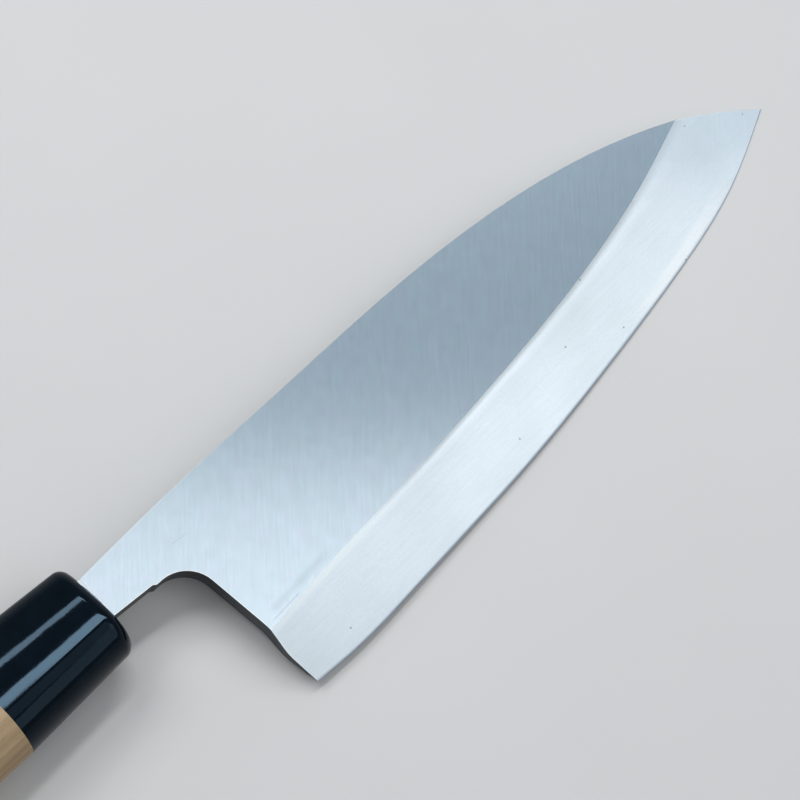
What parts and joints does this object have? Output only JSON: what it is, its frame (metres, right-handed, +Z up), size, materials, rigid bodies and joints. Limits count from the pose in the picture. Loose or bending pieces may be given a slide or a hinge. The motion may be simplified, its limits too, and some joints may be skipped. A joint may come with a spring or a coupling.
{
  "type": "deba knife",
  "caption": "Thick single-bevel fish knife with a wide bevel, rounded heel notch, hidden tang, black ferrule and pale D-shaped wooden handle, lying on its left side.",
  "frame": {"origin": "on the table, under the middle of the knife's box, as the knife lies on its left side", "axes": "+X from the butt to the tip, +Y from the edge to the spine, +Z up, out of the bevelled right face"},
  "size_m": [0.32, 0.0562, 0.0214],
  "materials": {
    "blade_steel": "satin",
    "ferrule_black": "polished",
    "handle_wood": "sanded, unvarnished",
    "resin": "matt"
  },
  "bodies": {
    "root": {"blade": "blade_steel", "ferrule": "ferrule_black", "handle": "handle_wood", "tang_bedding": "resin"}
  },
  "joints": []
}
